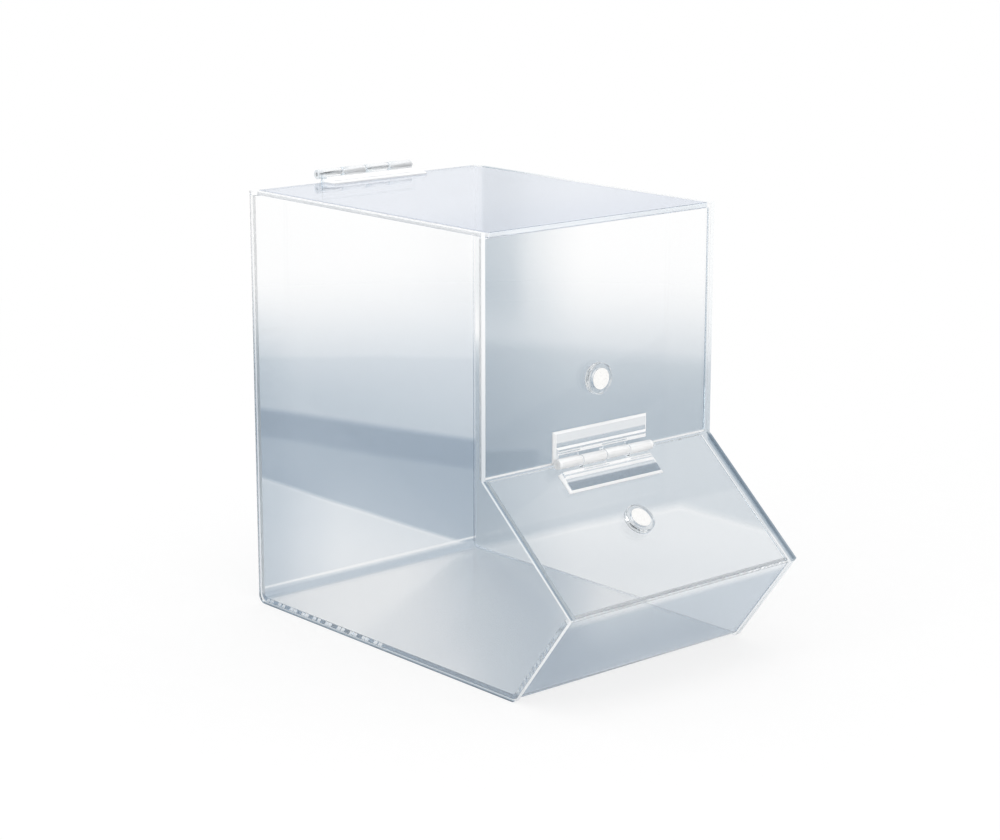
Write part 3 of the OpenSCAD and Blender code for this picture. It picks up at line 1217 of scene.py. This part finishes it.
@dataclass(frozen=True)
class StudioFloor:
    """A pale floor that keeps a faint shadow and runs out into the white of the room.

    Attributes:
        reach: Radius of the floor, in metres.
        drop: How far it lies below the part's foot.
        near: Radius within which the shadow shows in full.
        far: Radius beyond which the floor is as white as the room.
        paint: Colour of the floor.
        speck: Brightness of the specks in it, as a share.
        whitening: Share of plain white near the part.
        sides: Corners of the floor.
    """

    reach: float = 12.0
    drop: float = 0.2 * MM
    near: float = 0.25
    far: float = 1.2
    paint: float = 0.9
    speck: float = 0.985
    whitening: float = 0.8
    sides: int = 96

    SPECK_SCALE = 40.0

    def material(self) -> Material:
        """Builds the floor's paint and returns the finished material."""
        graph = Graph("studio_floor")
        greys = [(self.paint * share,) * 3 for share in (self.speck, 1.0)]
        colour = graph.ramp(graph.noise(self.SPECK_SCALE), NOISE_SPAN, greys)
        paint = graph.add("BsdfDiffuse", {"Color": colour})
        white = graph.add("Emission", {"Color": (1.0, 1.0, 1.0, 1.0), "Strength": 1.0})
        path = graph.add("LightPath").outputs
        seen = graph.most(path["Is Camera Ray"], path["Is Glossy Ray"])
        seen = graph.most(seen, path["Is Transmission Ray"])
        away = graph.length(graph.point)
        share = graph.spread(away, self.near, self.far, self.whitening, 1.0, eased=True)
        mixed = {0: graph.times(share, seen), 1: paint.outputs[0], 2: white.outputs[0]}
        return graph.output(graph.add("MixShader", mixed))

    def build(self) -> Object:
        """Makes the floor and returns its object."""
        sketch = bmesh.new()
        bmesh.ops.create_circle(sketch, cap_ends=True, segments=self.sides, radius=self.reach)
        floor = mesh_object("studio_floor", sketch, self.material())
        floor.location.z = -self.drop
        return floor


@dataclass(frozen=True)
class SoftLamp:
    """A softbox that points at the middle of the bin.

    Attributes:
        name: The lamp's name.
        place: Where it stands, in metres.
        size: Width and height, in metres.
        watts: Its power.
        aim: The point that it faces.
    """

    name: str
    place: Place
    size: Span
    watts: float
    aim: Place = (0.0, 0.0, 0.12)

    def build(self) -> Object:
        """Makes the lamp and returns its object."""
        light = bpy.data.lights.new(self.name, "AREA")
        light.shape = "RECTANGLE"
        light.size, light.size_y = self.size
        light.energy = self.watts
        lamp = new_object(self.name, light)
        lamp.location = self.place
        lamp.rotation_euler = (Vector(self.aim) - lamp.location).to_track_quat("-Z", "Y").to_euler()
        lamp.visible_camera = False
        return lamp


@dataclass
class Studio:
    """The floor, the white room and its lamps.

    Attributes:
        floor: The floor.
        room_level: Light of the room, where 1 is white.
        lamps: The softboxes.
        bounces: How often light may turn inside the clear sheets.
    """

    floor: StudioFloor = StudioFloor()
    room_level: float = 1.0
    lamps: tuple[SoftLamp, ...] = (
        SoftLamp("overhead_softbox", (-0.3, -0.3, 1.9), (1.1, 0.8), 6.0),
        SoftLamp("left_softbox", (-1.9, 0.2, 1.0), (0.5, 1.2), 5.0),
    )
    bounces: int = 120

    def build(self) -> None:
        """Makes the room, floor and lamps and sets how the picture is developed."""
        scene = bpy.context.scene
        scene.view_settings.view_transform = "Standard"
        scene.cycles.max_bounces = self.bounces
        scene.cycles.transmission_bounces = self.bounces
        scene.cycles.glossy_bounces = self.bounces
        scene.cycles.transparent_max_bounces = self.bounces
        self.floor.build()
        for lamp in self.lamps:
            lamp.build()
        room = bpy.data.worlds.new("white_room")
        room.use_nodes = True
        light = room.node_tree.nodes["Background"].inputs
        light["Color"].default_value = (1.0, 1.0, 1.0, 1.0)
        light["Strength"].default_value = self.room_level
        scene.world = room


@dataclass
class ViewCamera:
    """The camera at the photograph's viewing angle.

    Attributes:
        place: Where it stands, in metres.
        yaw: Turn to the right of straight ahead, in degrees.
        pitch: Tilt down, in degrees.
        focal_px: Focal length in pixels of a picture 1000 wide.
        width_px: Width of that picture.
        sensor: Width of the sensor, in millimetres.
    """

    place: Place = (-0.9598, -1.0923, 0.4834)
    yaw: float = 40.95
    pitch: float = 13.593
    focal_px: float = 2448.5
    width_px: float = 1000.0
    sensor: float = 36.0

    def build(self) -> Object:
        """Makes the camera, looks through it and returns its object."""
        lens = bpy.data.cameras.new("view_camera")
        lens.sensor_width = self.sensor
        lens.lens = self.sensor * self.focal_px / self.width_px
        camera = new_object("view_camera", lens)
        camera.location = self.place
        camera.rotation_euler = (math.radians(90.0 - self.pitch), 0.0, math.radians(-self.yaw))
        bpy.context.scene.camera = camera
        return camera


def main() -> None:
    """Builds the sub-assemblies in order and reports each piece."""
    logging.basicConfig(level=logging.INFO, format="%(name)s: %(message)s")
    ViewCamera().build()
    Studio().build()
    assemblies = [
        Case(),
        Doors(),
        # The hinges' outer parts and barrels get painted shade as set below.
        KnuckleHinge(
            "flap_hinge", pale="flap_hinge_upper_leaf", pale_span=(11.5 * MM, 12.5 * MM),
            leaves={"flap_hinge_upper_leaf": (Lie.FRONT, -1.0), "flap_hinge_lower_leaf": (Lie.SLOPE, 1.0)},
            finish=HingeMoulding("flap_hinge", outer_painted_shade=0.75, barrel_veil=0.72, notch_veil=0.85)),
        KnuckleHinge(
            "lid_hinge", pale="lid_hinge_lid_leaf", pale_span=(6.0 * MM, 8.0 * MM),
            leaves={"lid_hinge_back_leaf": (Lie.FRONT, 1.0), "lid_hinge_lid_leaf": (Lie.TOP, 1.0)},
            finish=HingeMoulding("lid_hinge", barrel_veil=0.3, edge_veil=0.6, pale_veil=0.85,
                                 barrel_painted_shade=0.14)),
        MagnetCatch("front_catch_cup", "front_catch_magnet", Lie.FRONT),
        MagnetCatch("flap_catch_cup", "flap_catch_magnet", Lie.SLOPE),
        WeldSeams(),
    ]
    for assembly in assemblies:
        for piece in assembly.build():
            LOG.info("%s: %s", type(assembly).__name__, piece.name)


if __name__ == "__main__":
    main()
